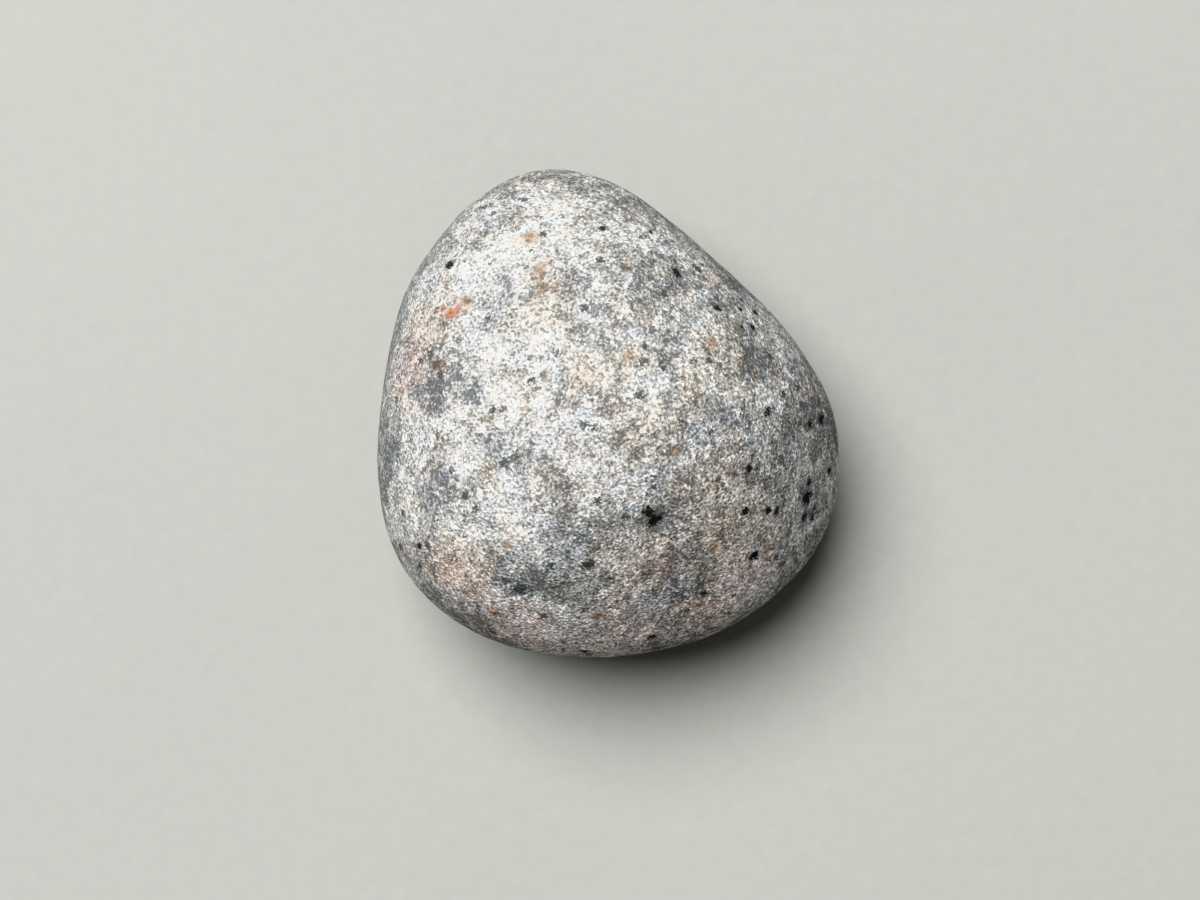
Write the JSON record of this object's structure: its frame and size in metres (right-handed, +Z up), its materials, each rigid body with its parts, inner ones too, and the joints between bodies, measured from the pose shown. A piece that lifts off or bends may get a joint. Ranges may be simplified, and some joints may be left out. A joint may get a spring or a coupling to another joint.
{
  "type": "river pebble",
  "caption": "Smooth, water-worn granite pebble with a rounded triangular outline and a domed top. It lies on its flatter side as a paperweight, counter or ground dressing.",
  "frame": {"origin": "on the surface that the pebble rests on, under the middle of its bounding box", "axes": "+Z up through the domed side, +Y from the broad end to the blunt tip, +X across"},
  "size_m": [0.042, 0.044, 0.0305],
  "materials": {
    "granite": "matte, water-worn"
  },
  "bodies": {
    "root": {"pebble": "granite"}
  },
  "joints": []
}
